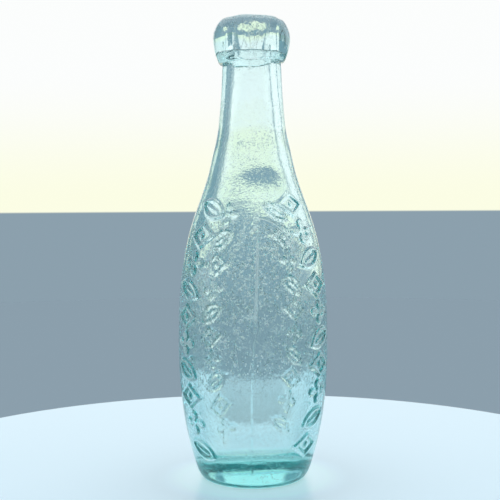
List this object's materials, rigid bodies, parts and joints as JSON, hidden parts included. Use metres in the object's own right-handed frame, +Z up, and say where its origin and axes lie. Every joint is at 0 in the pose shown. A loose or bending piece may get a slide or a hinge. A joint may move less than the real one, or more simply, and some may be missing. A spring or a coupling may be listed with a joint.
{
  "type": "soda bottle",
  "caption": "Pale aqua glass soda bottle with a swelling body, rounded heel, long tapering neck and a blob lip over an open bore.",
  "frame": {"origin": "centre of the flat ring the bottle stands on, on its underside", "axes": "+Z up along the bottle's axis, from foot to mouth; the mould seams run up the sides at -Y (front in the picture) and +Y, with the columns of moulded motifs on either side of them; the lip's lower edge hangs lowest at -X; the inner floor is highest at -Y"},
  "size_m": [0.0724, 0.0732, 0.222],
  "materials": {
    "vessel_glass": "thick pale aqua glass, glossy, with mould seams, moulded ornament in relief, small bubbles and light scuffs",
    "lip_glass": "pale aqua glass, glossy, hand tooled"
  },
  "bodies": {
    "root": {"blown_vessel": "vessel_glass", "applied_lip": "lip_glass"}
  },
  "joints": []
}
